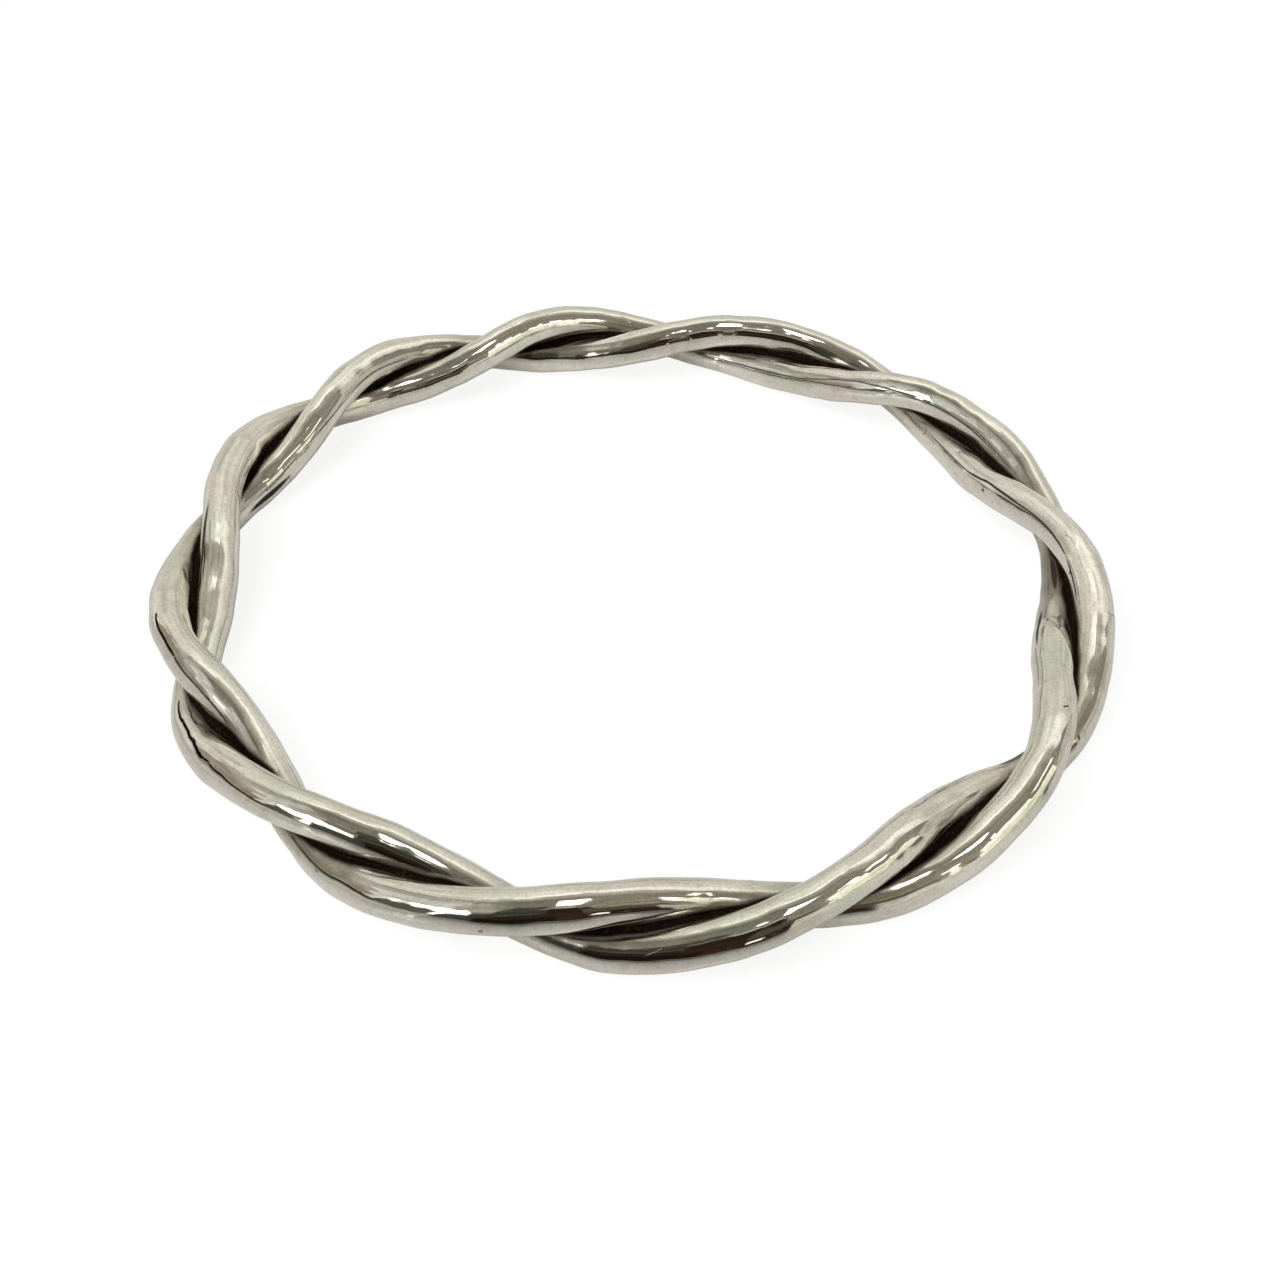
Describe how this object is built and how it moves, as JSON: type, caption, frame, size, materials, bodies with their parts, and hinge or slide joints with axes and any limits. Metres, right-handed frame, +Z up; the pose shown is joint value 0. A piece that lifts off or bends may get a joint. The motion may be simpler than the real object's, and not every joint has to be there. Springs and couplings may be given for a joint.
{
  "type": "twisted wire bangle",
  "caption": "Round bangle of polished silver wire, twisted as a loose rope of thick strands and soldered end to end, with an open hollow for the wrist.",
  "frame": {"origin": "middle of the bangle's underside, on the surface that it lies on", "axes": "+Z up along the bangle's axis, out of the wrist opening; +X towards the soldered joint, on the right of the picture; -Y towards the camera"},
  "size_m": [0.0746, 0.0742, 0.0065],
  "materials": {
    "silver": "polished silver, softly worn, with dark tarnish left in the grooves between the strands"
  },
  "bodies": {
    "root": {"twisted_wires": "silver"}
  },
  "joints": []
}
